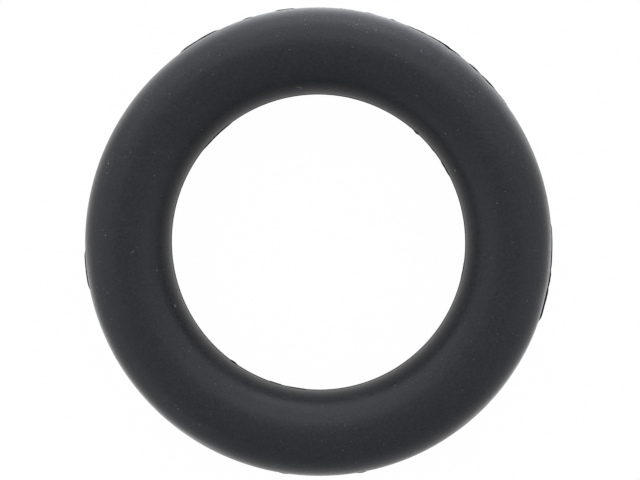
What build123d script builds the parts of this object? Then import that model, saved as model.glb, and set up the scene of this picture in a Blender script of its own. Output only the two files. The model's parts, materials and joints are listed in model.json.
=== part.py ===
from build123d import *
from math import cos, radians, sin, sqrt
import os

# O-ring: one piece of moulded nitrile rubber, for a 12 mm shaft.
#
# A round cord section is carried once round the axis. The ring is pressed in a two-plate
# mould that parts at mid height, so rubber creeps between the plates there as a thin film.
# Trimming takes the film off. It leaves a narrow flat band round the outside and the inside,
# with short torn lengths of film still standing on it, which are the ring's only marks.
#
# Millimetres. The origin is the ring's centre on the parting plane, and +Z is its axis.

# Driving dimensions
inside_diameter = 12.0  # across the hole, at the trimmed band
section_diameter = 3.5  # thickness of the cord, and so the ring's height
trim_width = 0.3  # height of a trimmed band, along the axis
film_thickness = 0.03  # flash film, along the axis
film_root = 0.25  # how deep a length of film is carried into the cord
tear_share = 0.15  # share of a length of film that is torn back on a slant, at each end

# Lengths of film left standing: first angle and sweep in degrees, anticlockwise from +X,
# then how far the film reaches beyond its trimmed band. Two that overlap leave a notch.
outer_film = [
    (41, 4.5, 0.03),
    (46.5, 3.5, 0.04),
    (52.3, 3.5, 0.04),
    (55.3, 7.2, 0.055),
    (62, 3.8, 0.04),
    (65.3, 2.8, 0.03),
    (70.3, 2.2, 0.035),
    (75.3, 4, 0.025),
    (80, 6.5, 0.02),
    (95.3, 5.5, 0.035),
    (105.9, 3.3, 0.035),
    (114.5, 12.5, 0.055),
    (181.3, 11, 0.05),
    (259.5, 3.5, 0.02),
    (279, 3, 0.02),
    (340.3, 9, 0.055),
    (349, 4, 0.045),
    (353.2, 11.3, 0.035),
]
inner_film = [
    (26.5, 7.5, 0.022),
    (37.5, 3, 0.015),
    (46.8, 2.7, 0.03),
    (125, 17, 0.02),
    (233, 3.7, 0.028),
    (250, 6, 0.018),
    (257, 9, 0.015),
    (344.5, 9, 0.012),
]

# The section is a circle, cut flat on its outer and inner sides over the trimmed bands
section_radius = section_diameter / 2
half_width = sqrt(section_radius**2 - (trim_width / 2) ** 2)
inner_radius = inside_diameter / 2
centre_radius = inner_radius + half_width
outer_radius = centre_radius + half_width


def at(radius, angle):
    """The point at this radius and angle, in the sketch's plane."""
    return (radius * cos(radians(angle)), radius * sin(radians(angle)))


with BuildPart() as o_ring:
    # The cord, closed on itself
    with BuildSketch(Plane.XZ):
        with Locations((centre_radius, 0)):
            Circle(section_radius)
            Rectangle(2 * half_width, 2 * section_diameter, mode=Mode.INTERSECT)
    revolve(axis=Axis.Z)

    # The film that trimming left. Each length keeps an even reach, and its ends are torn
    # back to the band on a slant. outward is 1 on the outside band and -1 on the inside one.
    with BuildSketch(Plane.XY.offset(-film_thickness / 2)):
        for band, outward, lengths in ((outer_radius, 1, outer_film), (inner_radius, -1, inner_film)):
            root = band - outward * film_root
            for first, sweep, reach in lengths:
                tip = band + outward * reach
                torn = sweep * tear_share
                middle = first + sweep / 2
                last = first + sweep
                with BuildLine():
                    edge = ThreePointArc(at(tip, first + torn), at(tip, middle), at(tip, last - torn))
                    back = ThreePointArc(at(root, last), at(root, middle), at(root, first))
                    Polyline(edge @ 1, at(band, last), back @ 0)
                    Polyline(back @ 1, at(band, first), edge @ 0)
                make_face()
    extrude(amount=film_thickness)

o_ring.part.label = "o_ring"
os.makedirs("parts", exist_ok=True)
export_step(o_ring.part, "parts/o_ring.step")
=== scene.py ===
import json
import math

import bpy
import numpy as np
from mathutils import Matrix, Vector, noise
from mathutils.bvhtree import BVHTree


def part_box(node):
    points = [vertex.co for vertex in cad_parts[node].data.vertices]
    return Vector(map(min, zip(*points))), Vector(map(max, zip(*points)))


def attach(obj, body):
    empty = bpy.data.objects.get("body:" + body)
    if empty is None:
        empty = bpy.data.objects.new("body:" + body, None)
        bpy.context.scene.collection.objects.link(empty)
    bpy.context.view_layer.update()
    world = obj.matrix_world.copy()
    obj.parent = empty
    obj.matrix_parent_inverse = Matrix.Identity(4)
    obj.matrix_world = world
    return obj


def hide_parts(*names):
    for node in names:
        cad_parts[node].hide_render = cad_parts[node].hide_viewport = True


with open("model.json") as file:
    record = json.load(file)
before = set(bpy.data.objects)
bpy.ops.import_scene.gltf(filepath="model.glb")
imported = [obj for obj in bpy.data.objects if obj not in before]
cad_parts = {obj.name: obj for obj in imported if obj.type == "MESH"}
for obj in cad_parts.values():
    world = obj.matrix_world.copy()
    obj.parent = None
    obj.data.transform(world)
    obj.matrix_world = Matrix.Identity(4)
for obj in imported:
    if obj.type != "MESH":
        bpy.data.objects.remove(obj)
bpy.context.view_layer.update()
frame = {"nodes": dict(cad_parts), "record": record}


# ---------------------------------------------------------------------------
# The ring: one endless cord of black nitrile rubber, pressed in a two-plate mould that
# parts at mid height. Trimming leaves a narrow cut band outside and inside, and on it
# stand torn lengths of the film that crept between the plates.
# ---------------------------------------------------------------------------
mm = 0.001
mounts = {m["name"]: m for m in frame["record"]["mounts"]}
low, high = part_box("o_ring")
section_radius = (high.z - low.z) / 2
inner_radius = mounts["shaft_seat"]["dims"]["r_mm"] * mm
outer_radius = mounts["housing_seat"]["dims"]["r_mm"] * mm
centre_radius = (inner_radius + outer_radius) / 2
cut_depth = (outer_radius - inner_radius) / 2  # from the cord's centre line to a cut band

steps_around = 1800
steps_over = 22  # from one band over the crown to the other; even, so that one point is the crown
film_half = 0.015 * mm  # half the film's thickness where it leaves the band
film_tip_half = 0.005 * mm
film_full = 0.05 * mm  # the reach of a full length of film
film_droop = 0.02 * mm  # how far such a length bends up or down; a shorter one bends less
film_growth = 1.5  # times the solid's reach, because the round cord hides the film's foot from above
taper_steps = 4  # how softly the film's torn ends fade out, in steps round the ring
witness = 0.004 * mm  # the fine line that the cut leaves where no film stands
cut_wander = 0.002 * mm  # how far the cut strays in and out
lie_oval = 0.024 * mm  # the ring is soft, and lies this much out of round
lie_oval_towards = math.radians(110)
swell = 0.018 * mm  # the cord's outer side swells this much in three places, as it cooled unevenly
swell_towards = math.radians(-31)

turns = np.arange(steps_around) * (2 * math.pi / steps_around)
outward = [Vector((math.cos(t), math.sin(t), 0)) for t in turns]


def wander(seed, size):
    """An even random wander round the ring, about -1 to 1, whose swings are about size long."""
    where = [d * (centre_radius / size) + Vector((0, 0, seed)) for d in outward]
    return np.array([noise.fractal(p, 1.0, 2.0, 3) for p in where])


# The film's reach is read off the solid, inside the film's thickness, and then its edge is torn
solid_mesh = frame["nodes"]["o_ring"].data
corners = [v.co for v in solid_mesh.vertices]
solid = BVHTree.FromPolygons(corners, [p.vertices for p in solid_mesh.polygons])
mid = Vector((0, 0, film_half / 4))
outer_hit = [solid.ray_cast(mid + d * outer_radius * 1.5, -d)[0].xy.length for d in outward]
inner_hit = [solid.ray_cast(mid, d)[0].xy.length for d in outward]


def torn(reach, seed):
    """The film's reach with a ragged edge, and the cut's fine witness line where it has none."""
    span = 15  # the taper is nothing beyond this many steps
    taper = np.exp(-((np.arange(-span, span + 1) / taper_steps) ** 2))
    joined_up = np.concatenate((reach[-span:], reach, reach[:span]))
    reach = np.convolve(joined_up, taper / taper.sum(), "valid")

    # A coarse and a fine raggedness, which leave 0.7 to 1.9 times the solid's reach
    ragged = film_growth + 0.13 * wander(seed, 0.4 * mm) + 0.06 * wander(seed + 5, 0.09 * mm)
    line = witness * (1 + 0.5 * wander(seed + 9, 0.15 * mm))
    return np.maximum(reach, 0) * np.clip(ragged, 0.7, 1.9) + line


outer_reach = np.array(outer_hit) - outer_radius
inner_reach = inner_radius - np.array(inner_hit)

# What is too fine for the solid: a whisker more or less film in a few places round the outside,
# and the cord's outer side pulled in a little beside the boldest lengths. Bearing and spread are
# in degrees, and both amounts are in mm, the film's before its growth.
pulled_in = np.zeros(steps_around)
for bearing, spread, more, pulled in (
    (4.2, 1, 0.02, 0),
    (38.3, 3.2, 0.036, 0),
    (43.2, 1.5, 0, 0.022),
    (44.5, 4, 0.012, 0),
    (46, 0.9, 0.018, 0),
    (48, 1.1, 0, 0.02),
    (51.2, 1.2, 0.028, 0),
    (56, 1.2, 0.008, 0.03),
    (60.3, 1.6, -0.014, 0),
    (65, 2.5, -0.006, 0.017),
    (100.3, 1, 0.015, 0),
    (121.5, 3.5, -0.005, 0),
    (261.8, 1.2, 0.014, 0),
    (280.9, 1.4, 0.023, 0),
    (340.6, 0.9, 0.02, 0),
    (346, 4.5, 0, 0.03),
    (349.2, 1, 0.014, 0),
    (353.6, 1.3, 0.025, 0),
    (356, 4, 0, 0.018),
):
    off = np.remainder(np.degrees(turns) - bearing + 180, 360) - 180
    outer_reach += more * mm * np.exp(-((off / spread) ** 2))
    pulled_in += pulled * mm * np.exp(-((off / spread) ** 2))

outer_film = torn(outer_reach, 11) + pulled_in
inner_film = torn(inner_reach, 31)


def side(facing, film, seed):
    """One cut band's points from its top corner down, as (distance from the centre line, height)."""
    depth = cut_depth + cut_wander * wander(seed, 2.5 * mm)
    corner = np.sqrt(section_radius**2 - depth**2)
    droop = film_droop * wander(seed + 3, 1.2 * mm) * film / film_full
    rows = [
        (depth, corner),
        (depth, film_half),
        (depth + film, droop + film_tip_half),
        (depth + film, droop - film_tip_half),
        (depth, -film_half),
        (depth, -corner),
    ]
    return [(facing * out, up) for out, up in rows]


def over(start, end, top):
    """The moulded skin's points between two bands' corners, over the crown if top is 1 and under
    the ring if it is -1."""
    a = np.arctan2(top * start[1], start[0])
    b = np.arctan2(top * end[1], end[0])
    shares = np.arange(1, steps_over) / steps_over
    return [
        (section_radius * np.cos(a + (b - a) * s), top * section_radius * np.sin(a + (b - a) * s))
        for s in shares
    ]


outer_side = side(1, outer_film, 51)
inner_side = side(-1, inner_film, 71)
above = over(outer_side[0], inner_side[0], 1)
below = over(inner_side[-1], outer_side[-1], -1)
section = above + inner_side + below + outer_side[::-1]

centre_line = centre_radius + lie_oval * np.cos(2 * (turns - lie_oval_towards))
fuller = 1 + (swell * np.cos(3 * (turns - swell_towards)) - pulled_in) / cut_depth
points = np.zeros((steps_around, len(section), 3))
for i, (out, up) in enumerate(section):
    from_axis = centre_line + np.where(out > 0, out * fuller, out)
    points[:, i, 0] = from_axis * np.cos(turns)
    points[:, i, 1] = from_axis * np.sin(turns)
    points[:, i, 2] = up

count = len(section)
ring_mesh = bpy.data.meshes.new("o-ring")
faces = [
    (a * count + i, b * count + i, b * count + j, a * count + j)
    for a, b in ((s, (s + 1) % steps_around) for s in range(steps_around))
    for i, j in ((k, (k + 1) % count) for k in range(count))
]
ring_mesh.from_pydata(points.reshape(-1, 3).tolist(), [], faces)
ring_mesh.shade_smooth()
ring_mesh.set_sharp_from_angle(angle=math.radians(35))
ring = bpy.data.objects.new("moulded_ring", ring_mesh)
bpy.context.scene.collection.objects.link(ring)
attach(ring, "root")
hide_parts("o_ring")


def put(tree, kind, inputs=None, **settings):
    """Add a shader node. inputs gives its sockets their values, or the outputs they are linked from."""
    made = tree.nodes.new(kind)
    for key, value in settings.items():
        setattr(made, key, value)
    for key, value in (inputs or {}).items():
        if isinstance(value, bpy.types.NodeSocket):
            tree.links.new(value, made.inputs[key])
        else:
            made.inputs[key].default_value = value
    return made


def maths(tree, operation, first, second=0.0, third=0.0):
    """The result of one sum on numbers or outputs."""
    return put(tree, "ShaderNodeMath", {0: first, 1: second, 2: third}, operation=operation).outputs[0]


def ramp(tree, value, start, end, low_value=0.0, high_value=1.0):
    """A soft step: low_value where value is at start, high_value where it is at end."""
    inputs = {
        "Value": value,
        "From Min": start,
        "From Max": end,
        "To Min": low_value,
        "To Max": high_value,
    }
    return put(tree, "ShaderNodeMapRange", inputs, interpolation_type="SMOOTHSTEP").outputs["Result"]


def blend(tree, amount, plain, covered):
    """One colour laid over another by amount."""
    return put(tree, "ShaderNodeMix", {0: amount, 6: plain, 7: covered}, data_type="RGBA").outputs[2]


def cloud(tree, where, per_mm, detail=2.0, roughness=0.5):
    """An even random pattern, about 0.3 to 0.7, with per_mm swings in a millimetre."""
    inputs = {"Vector": where, "Scale": per_mm, "Detail": detail, "Roughness": roughness}
    return put(tree, "ShaderNodeTexNoise", inputs).outputs["Fac"]


def scaled(tree, where, factor):
    """A place or a direction times a factor."""
    return put(tree, "ShaderNodeVectorMath", {0: where, "Scale": factor}, operation="SCALE").outputs[0]


def off_axis(tree, where):
    """How far a place is from the ring's axis."""
    flat = put(tree, "ShaderNodeVectorMath", {0: where, 1: (1, 1, 0)}, operation="MULTIPLY").outputs[0]
    return put(tree, "ShaderNodeVectorMath", {0: flat}, operation="LENGTH").outputs["Value"]


def effect(name, inputs, outputs):
    """A node group with named number sockets. Gives the group, its inputs and the place in mm."""
    tree = bpy.data.node_groups.new(name, "ShaderNodeTree")
    for label, value in inputs.items():
        given = tree.interface.new_socket(label, in_out="INPUT", socket_type="NodeSocketFloat")
        given.default_value = value
    for label in outputs:
        tree.interface.new_socket(label, in_out="OUTPUT", socket_type="NodeSocketFloat")
    place = scaled(tree, put(tree, "ShaderNodeTexCoord").outputs["Object"], 1 / mm)
    return tree, put(tree, "NodeGroupInput").outputs, place


def patch(tree, where, bearing, from_axis, half_length, half_width, turn=0.0):
    """1 inside a small oval on the upper skin and 0 outside it. In mm and degrees; with a turn of 0
    the oval lies along the cord."""
    up = math.sqrt(max((section_radius / mm) ** 2 - (from_axis - centre_radius / mm) ** 2, 0))
    b = math.radians(bearing)
    inputs = {
        "Vector": where,
        "Location": (from_axis * math.cos(b), from_axis * math.sin(b), up),
        "Rotation": (0, 0, b + math.radians(90 + turn)),
        "Scale": (half_length, half_width, 0.6),
    }
    inside = put(tree, "ShaderNodeMapping", inputs, vector_type="TEXTURE").outputs[0]
    away = put(tree, "ShaderNodeVectorMath", {0: inside}, operation="LENGTH").outputs["Value"]
    return ramp(tree, away, 1.0, 0.5)


def most(tree, masks):
    """The greatest of several masks."""
    whole = masks[0]
    for mask in masks[1:]:
        whole = maths(tree, "MAXIMUM", whole, mask)
    return whole


# Grain: the fine pits that the mould's blasted wall prints on the skin
grain, given, place = effect("grain", {"Fineness": 1.0}, ["Height", "Tone"])
closer = scaled(grain, place, given["Fineness"])
coarse = cloud(grain, closer, 8.5, 3.0, 0.65)
fine = cloud(grain, closer, 25.0)
pits = maths(grain, "MULTIPLY_ADD", fine, 0.6, coarse)
put(grain, "NodeGroupOutput", {"Height": pits, "Tone": ramp(grain, pits, 0.55, 1.05)})

# Dust: pale specks that stick to the soft rubber, thick in a few places along its outer side and
# a little less so over one wide stretch
dust, given, place = effect("dust", {"Amount": 1.0}, ["Cover"])
thick_places = [
    patch(dust, place, 44, 8.6, 0.7, 0.5),
    patch(dust, place, 79, 8.83, 1.2, 0.5, 4),
    patch(dust, place, 92, 8.85, 0.5, 0.3),
    patch(dust, place, 139, 8.92, 1.0, 0.35),
    patch(dust, place, 161, 8.85, 0.75, 0.35),
    patch(dust, place, 228, 8.6, 0.45, 0.3),
]
thick = most(dust, thick_places)
thin = maths(dust, "MULTIPLY", patch(dust, place, 60, 8.6, 5.0, 1.0), 0.22)
gathers = maths(dust, "MAXIMUM", thick, thin)

# Everywhere else it is patchy, and there is more of it towards the outside
patchy = ramp(dust, cloud(dust, place, 0.45, 1.0), 0.35, 0.65, 0.3, 1.0)
patchy = maths(dust, "MULTIPLY", patchy, ramp(dust, off_axis(dust, place), 8.2, 9.1, 1.0, 2.4))

# No speck is quite round
uneven = put(dust, "ShaderNodeTexNoise", {"Vector": place, "Scale": 22.0, "Detail": 1.0})
uneven = scaled(dust, uneven.outputs["Color"], 0.035)
uneven = put(dust, "ShaderNodeVectorMath", {0: place, 1: uneven}, operation="ADD").outputs[0]

# One layer for each size of speck: cells in a millimetre, the largest speck as a share of its
# cell, and the shares of the cells that hold one, everywhere and where the dust lies thick
layers = (
    (3.6, 0.13, 0.06, 0.35),
    (6.5, 0.16, 0.19, 0.8),
    (10.0, 0.2, 0.07, 0.9),
)
covers = []
for per_mm, largest, everywhere, gathered in layers:
    specks = put(dust, "ShaderNodeTexVoronoi", {"Vector": uneven, "Scale": per_mm})
    # Each speck draws three lots: its size, whether it is there, and how pale it is
    lot = put(dust, "ShaderNodeSeparateColor", {"Color": specks.outputs["Color"]}).outputs
    size = maths(dust, "MULTIPLY_ADD", lot[0], largest * 0.65, largest * 0.35)
    grown = maths(dust, "DIVIDE", specks.outputs["Distance"], size)
    wanted = maths(dust, "MULTIPLY_ADD", gathers, gathered, maths(dust, "MULTIPLY", patchy, everywhere))
    here = maths(dust, "LESS_THAN", lot[1], maths(dust, "MULTIPLY", wanted, given["Amount"]))
    pale = maths(dust, "MULTIPLY_ADD", maths(dust, "POWER", lot[2], 2.0), 0.42, 0.42)
    pale = maths(dust, "MULTIPLY_ADD", gathers, 0.6, pale)
    layer = maths(dust, "MULTIPLY", ramp(dust, grown, 1.0, 0.5), here)
    covers.append(maths(dust, "MULTIPLY", layer, pale))
put(dust, "NodeGroupOutput", {"Cover": most(dust, covers)})

# Rubbing: faint streaks where the ring has slid on others, a few scuffs, and a shallow pock. The
# streaks run two ways, each drawn out of a cloud that is shifted to its own place.
rubbing, given, place = effect("rubbing", {"Streaks": 1.0}, ["Streak", "Scuff", "Pock"])
streaks = []
for turn, shift in ((40, 0.0), (-35, 17.0)):
    inputs = {
        "Vector": place,
        "Location": (shift, 0, 0),
        "Rotation": (0, 0, math.radians(turn)),
        "Scale": (0.5, 7.0, 1.0),
    }
    drawn = put(rubbing, "ShaderNodeMapping", inputs).outputs[0]
    streaks.append(ramp(rubbing, cloud(rubbing, drawn, 1.0), 0.6, 0.75))
where_rubbed = ramp(rubbing, cloud(rubbing, place, 0.5, 1.0), 0.45, 0.62)
streak = most(rubbing, streaks)
streak = maths(rubbing, "MULTIPLY", streak, maths(rubbing, "MULTIPLY", where_rubbed, given["Streaks"]))
scuffs = [
    patch(rubbing, place, 97, 6.23, 0.2, 0.03, -14),
    patch(rubbing, place, 203.9, 6.27, 0.09, 0.045),
    patch(rubbing, place, 27.6, 6.17, 0.08, 0.035),
    patch(rubbing, place, 155.8, 9.38, 0.07, 0.03),
    patch(rubbing, place, 157.6, 9.4, 0.05, 0.03),
    patch(rubbing, place, 259.2, 9.05, 0.17, 0.022, 30),
    patch(rubbing, place, 284, 9.3, 0.13, 0.022, -35),
    patch(rubbing, place, 183, 7.35, 0.14, 0.018, -50),
]
broken = ramp(rubbing, cloud(rubbing, place, 16.0, 1.0), 0.35, 0.6, 0.25, 1.0)
scuff = maths(rubbing, "MULTIPLY", most(rubbing, scuffs), broken)
pock = maths(rubbing, "MULTIPLY", patch(rubbing, place, 342.3, 7.33, 0.26, 0.07), broken)
put(rubbing, "NodeGroupOutput", {"Streak": streak, "Scuff": scuff, "Pock": pock})

# The moulded skin, half matt: black in the grain's pits and charcoal on its peaks, paler where
# the rubber's own wax has bloomed, where it is streaked or scuffed, and under dust
black_pit = (0.0056, 0.0059, 0.0081, 1)
charcoal_peak = (0.0142, 0.0147, 0.0182, 1)
bloomed = (0.018, 0.019, 0.023, 1)
streaked = (0.027, 0.028, 0.032, 1)
scuffed = (0.15, 0.15, 0.155, 1)
pock_floor = (0.003, 0.003, 0.004, 1)
pale_dust = (0.25, 0.26, 0.27, 1)
skin_grain = 0.007 * mm  # depth of the grain
moulded = bpy.data.materials.new("moulded rubber")
moulded.use_nodes = True
tree = moulded.node_tree
skin = tree.nodes["Principled BSDF"]
pitted = put(tree, "ShaderNodeGroup", {"Fineness": 1.0}, node_tree=grain).outputs
dusty = put(tree, "ShaderNodeGroup", {"Amount": 1.0}, node_tree=dust).outputs
rubbed = put(tree, "ShaderNodeGroup", {"Streaks": 1.0}, node_tree=rubbing).outputs
place = put(tree, "ShaderNodeTexCoord").outputs["Object"]
bloom = ramp(tree, cloud(tree, place, 0.6 / mm, 3.0, 0.6), 0.35, 0.65)
colour = blend(tree, pitted["Tone"], black_pit, charcoal_peak)
colour = blend(tree, maths(tree, "MULTIPLY", bloom, 0.12), colour, bloomed)
colour = blend(tree, maths(tree, "MULTIPLY", rubbed["Streak"], 0.22), colour, streaked)
colour = blend(tree, maths(tree, "MULTIPLY", rubbed["Scuff"], 0.75), colour, scuffed)
colour = blend(tree, maths(tree, "MULTIPLY", rubbed["Pock"], 0.8), colour, pock_floor)
colour = blend(tree, dusty["Cover"], colour, pale_dust)
gloss = maths(tree, "MULTIPLY_ADD", pitted["Tone"], 0.06, 0.29)
gloss = maths(tree, "MULTIPLY_ADD", bloom, 0.05, gloss)
gloss = maths(tree, "MULTIPLY_ADD", rubbed["Streak"], 0.06, gloss)
gloss = maths(tree, "MULTIPLY_ADD", maths(tree, "MAXIMUM", rubbed["Scuff"], dusty["Cover"]), 0.4, gloss)
height = maths(tree, "MULTIPLY_ADD", rubbed["Pock"], -3.0, pitted["Height"])
relief = put(tree, "ShaderNodeBump", {"Height": height, "Strength": 1.0, "Distance": skin_grain})
tree.links.new(colour, skin.inputs["Base Color"])
tree.links.new(gloss, skin.inputs["Roughness"])
tree.links.new(relief.outputs[0], skin.inputs["Normal"])
skin.inputs["IOR"].default_value = 1.5
skin.inputs["Specular IOR Level"].default_value = 0.36
skin.inputs["Sheen Weight"].default_value = 0.15
skin.inputs["Sheen Roughness"].default_value = 0.4
ring_mesh.materials.append(moulded)

# The trimmed bands and the torn film, which the knife leaves duller and darker than the skin
cut_pit = (0.0045, 0.0048, 0.0062, 1)
cut_peak = (0.012, 0.0125, 0.015, 1)
dust_on_cut = (0.20, 0.21, 0.22, 1)
cut_grain = 0.006 * mm
trimmed = bpy.data.materials.new("trimmed rubber")
trimmed.use_nodes = True
tree = trimmed.node_tree
cut = tree.nodes["Principled BSDF"]
pitted = put(tree, "ShaderNodeGroup", {"Fineness": 2.2}, node_tree=grain).outputs
dusty = put(tree, "ShaderNodeGroup", {"Amount": 0.8}, node_tree=dust).outputs
colour = blend(tree, pitted["Tone"], cut_pit, cut_peak)
colour = blend(tree, dusty["Cover"], colour, dust_on_cut)
tree.links.new(colour, cut.inputs["Base Color"])
tree.links.new(maths(tree, "MULTIPLY_ADD", pitted["Tone"], 0.12, 0.6), cut.inputs["Roughness"])
relief = put(tree, "ShaderNodeBump", {"Height": pitted["Height"], "Strength": 1.0, "Distance": cut_grain})
tree.links.new(relief.outputs[0], cut.inputs["Normal"])
cut.inputs["IOR"].default_value = 1.5
cut.inputs["Specular IOR Level"].default_value = 0.15
ring_mesh.materials.append(trimmed)

# The faces down each cut band and over its film are cut rubber
first_inner = len(above)
first_outer = first_inner + len(inner_side) + len(below)
for first, points_down in ((first_inner, inner_side), (first_outer, outer_side)):
    for face in ring_mesh.polygons:
        if first <= face.index % count < first + len(points_down) - 1:
            face.material_index = 1

# ---------------------------------------------------------------------------
# The table: a plain white sheet that the ring lies on. The camera sees it white, the ring
# mirrors it at the painted levels of light and shade below, and otherwise it is a matt sheet under the
# lamps.
# ---------------------------------------------------------------------------
table_half = 0.5
corner_signs = ((-1, -1), (1, -1), (1, 1), (-1, 1))
table_corners = [(x * table_half, y * table_half, low.z) for x, y in corner_signs]
table_mesh = bpy.data.meshes.new("table")
table_mesh.from_pydata(table_corners, [], [(0, 1, 2, 3)])
table = bpy.data.objects.new("table", table_mesh)
bpy.context.scene.collection.objects.link(table)

white = bpy.data.materials.new("white table")
white.use_nodes = True
tree = white.node_tree
tree.nodes.clear()
sheet = put(tree, "ShaderNodeBsdfDiffuse", {"Color": (0.85, 0.85, 0.85, 1)}).outputs[0]
place = put(tree, "ShaderNodeTexCoord").outputs["Object"]
away = off_axis(tree, place)


def along(direction):
    """How far a place on the table lies in a direction."""
    inputs = {0: place, 1: direction}
    return put(tree, "ShaderNodeVectorMath", inputs, operation="DOT_PRODUCT").outputs["Value"]


# Painted reflection: how white the table glows in the ring's skin, where 1 is white. This is painted
# light and shade, brightest on the lamps' side and right beside the ring, darker in front, and dimmest in
# the middle of the hole
lamps_at = math.radians(80)  # the bearing of the brightest lamps
towards = along((math.cos(lamps_at), math.sin(lamps_at), 0))
aside = maths(tree, "ABSOLUTE", along((-math.sin(lamps_at), math.cos(lamps_at), 0)))
# Painted light: a pool of brighter reflection on the lamps' side of the table
painted_lamp_side_light = ramp(tree, maths(tree, "MULTIPLY_ADD", aside, -0.35, towards), 0, 22 * mm)
# Painted shade: the reflected table is darker in front of the ring
painted_front_shade = ramp(tree, towards, -30 * mm, -9 * mm, 0.5, 0.72)
# Painted light: a brighter reflection right beside the ring
painted_glow_beside_ring = ramp(tree, away, 10 * mm, 13 * mm, 0.66, 0.0)
level = maths(tree, "ADD", painted_front_shade, painted_glow_beside_ring)
level = maths(tree, "MULTIPLY_ADD", painted_lamp_side_light, 1.5, level)
# Painted shade in the hole, darker on the lamps' side of it
painted_hole_shade = ramp(tree, towards, -inner_radius, inner_radius, 0.72, 0.54)
# More painted shade, darkest in the middle of the hole
painted_hole_middle_shade = ramp(tree, away, 0.15 * inner_radius, 0.8 * inner_radius, 0.68, 1.1)
painted_hole_shade = maths(tree, "MULTIPLY", painted_hole_shade, painted_hole_middle_shade)
# Inside the ring the painted hole shade, outside it the painted light, capped at white
level = ramp(tree, away, inner_radius, outer_radius, painted_hole_shade, maths(tree, "MINIMUM", level, 1.0))
# Painted colour of the reflection: cool on the lamps' side, warm elsewhere
painted_reflection_tint = blend(tree, painted_lamp_side_light, (1.0, 0.99, 0.97, 1), (0.87, 0.92, 1.0, 1))
path = put(tree, "ShaderNodeLightPath").outputs
mirrored = maths(tree, "MAXIMUM", path["Is Glossy Ray"], path["Is Transmission Ray"])
strength = maths(tree, "MAXIMUM", path["Is Camera Ray"], maths(tree, "MULTIPLY", mirrored, level))
seen = blend(tree, path["Is Camera Ray"], painted_reflection_tint, (1, 1, 1, 1))
glow = put(tree, "ShaderNodeEmission", {"Color": seen, "Strength": strength}).outputs[0]

# Under the cord more of the sheet is real, so that it keeps the ring's shadow there
off_centre_line = maths(tree, "ABSOLUTE", maths(tree, "SUBTRACT", away, centre_radius))
plain = ramp(tree, off_centre_line, 0.4 * section_radius, 0.95 * section_radius, 0.6, 0.985)
lit = maths(tree, "MAXIMUM", maths(tree, "MULTIPLY", path["Is Camera Ray"], plain), mirrored)
whole = put(tree, "ShaderNodeMixShader", {"Fac": lit, 1: sheet, 2: glow}).outputs[0]
put(tree, "ShaderNodeOutputMaterial", {"Surface": whole})
table_mesh.materials.append(white)

# ---------------------------------------------------------------------------
# The light: a plain pale room with white softboxes round the ring, the brightest low
# behind it, and white cards that lie on the table close to it and light its rim.
# ---------------------------------------------------------------------------
world = bpy.data.worlds.new("room")
bpy.context.scene.world = world
world.use_nodes = True
tree = world.node_tree

# The room is a little dimmer in front of the ring
facing = put(tree, "ShaderNodeTexCoord").outputs["Generated"]
behind = put(tree, "ShaderNodeVectorMath", {0: facing, 1: (0, 1, 0)}, operation="DOT_PRODUCT")
room = tree.nodes["Background"]
room.inputs["Color"].default_value = (0.9, 0.93, 1.0, 1)
tree.links.new(ramp(tree, behind.outputs["Value"], -1.0, -0.3, 0.58, 0.77), room.inputs["Strength"])

lamp_white = (0.91, 0.94, 1.0)
card_gap = 0.4 * mm  # from the ring to a card
card_lift = 0.1 * mm  # from the table to a card


def panel(name, width, height, brightness):
    """A lamp with an even face that the camera doesn't see. At a brightness of 1 it looks white."""
    light = bpy.data.lights.new(name, "AREA")
    light.shape = "RECTANGLE"
    light.size = width
    light.size_y = height
    light.energy = brightness * math.pi * width * height
    light.color = lamp_white
    lamp = bpy.data.objects.new(name, light)
    lamp.visible_camera = False
    bpy.context.scene.collection.objects.link(lamp)
    return lamp


def softbox(name, bearing, elevation, distance, width, height, brightness):
    """A panel that faces the ring. Bearing 0 is +X, and the distance and size are in metres."""
    b = math.radians(bearing)
    e = math.radians(elevation)
    towards = Vector((math.cos(b) * math.cos(e), math.sin(b) * math.cos(e), math.sin(e)))
    lamp = panel(name, width, height, brightness)
    lamp.location = towards * distance
    lamp.rotation_euler = towards.to_track_quat("Z", "Y").to_euler()


def card(name, bearing, width, depth, brightness):
    """A panel that lies on the table beside the ring and shines up."""
    b = math.radians(bearing)
    from_axis = outer_radius + card_gap + depth / 2
    lamp = panel(name, width, depth, brightness)
    lamp.location = (from_axis * math.cos(b), from_axis * math.sin(b), low.z + card_lift)
    lamp.rotation_euler = (math.pi, 0, b - math.pi / 2)


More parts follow.
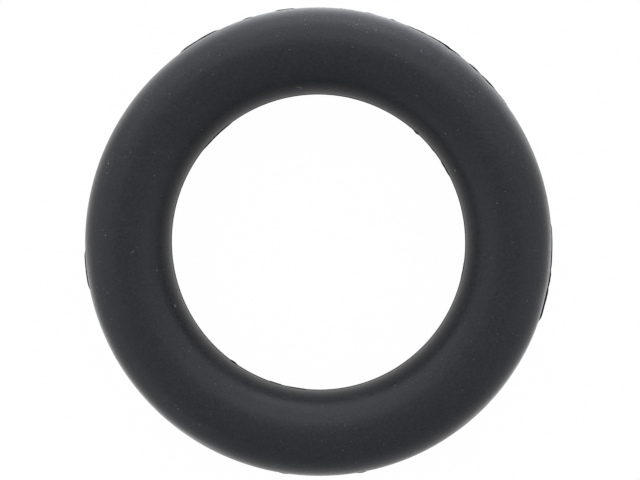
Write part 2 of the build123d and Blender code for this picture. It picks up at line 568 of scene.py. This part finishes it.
softbox("low behind", 90, 6, 0.15, 0.12, 0.028, 2.4)
softbox("low behind right", 66, 6, 0.15, 0.10, 0.028, 1.2)
softbox("low behind left", 130, 6, 0.15, 0.10, 0.028, 0.55)
softbox("low far left", 160, 6, 0.15, 0.10, 0.028, 0.2)
softbox("behind", 90, 22, 0.25, 0.25, 0.09, 1.1)
softbox("behind right", 45, 22, 0.25, 0.16, 0.09, 0.8)
softbox("behind left", 135, 22, 0.25, 0.16, 0.09, 1.03)
softbox("high behind", 88, 48, 0.30, 0.24, 0.13, 1.0)
softbox("high behind right", 50, 48, 0.30, 0.16, 0.13, 0.4)
softbox("high behind left", 130, 48, 0.30, 0.16, 0.13, 0.42)
softbox("overhead right", 60, 64, 0.30, 0.10, 0.12, 0.5)
softbox("right", 0, 40, 0.30, 0.18, 0.16, 0.34)
softbox("left", 180, 40, 0.30, 0.18, 0.16, 0.45)
softbox("low right", 0, 10, 0.20, 0.14, 0.06, 0.23)
softbox("low left", 185, 10, 0.20, 0.14, 0.06, 0.45)
softbox("front left", 225, 14, 0.20, 0.12, 0.09, 0.38)
card("card behind", 87, 18 * mm, 24 * mm, 0.9)
card("card behind right", 53, 13 * mm, 24 * mm, 0.42)
card("card behind left", 121, 13 * mm, 24 * mm, 0.38)
card("card left", 215, 13 * mm, 1.3 * mm, 0.55)
card("card right", 338, 13 * mm, 1.3 * mm, 0.5)

# ---------------------------------------------------------------------------
# The camera looks straight down, from near enough that the round cord hides the foot of
# the film. Its height gives the view's width at the parting plane.
# ---------------------------------------------------------------------------
view_width = 26.05 * mm
off_middle_x = 0.061 * mm  # the ring lies a hair off the middle of the view
off_middle_y = 0.083 * mm
camera_data = bpy.data.cameras.new("camera")
camera_data.lens = 76
camera_data.sensor_width = 36
camera_data.clip_start = 0.01
camera_data.clip_end = 5
camera_height = view_width * camera_data.lens / camera_data.sensor_width
camera = bpy.data.objects.new("camera", camera_data)
camera.location = (off_middle_x, off_middle_y, camera_height)
bpy.context.scene.collection.objects.link(camera)
bpy.context.scene.camera = camera
bpy.context.scene.view_settings.view_transform = "Standard"
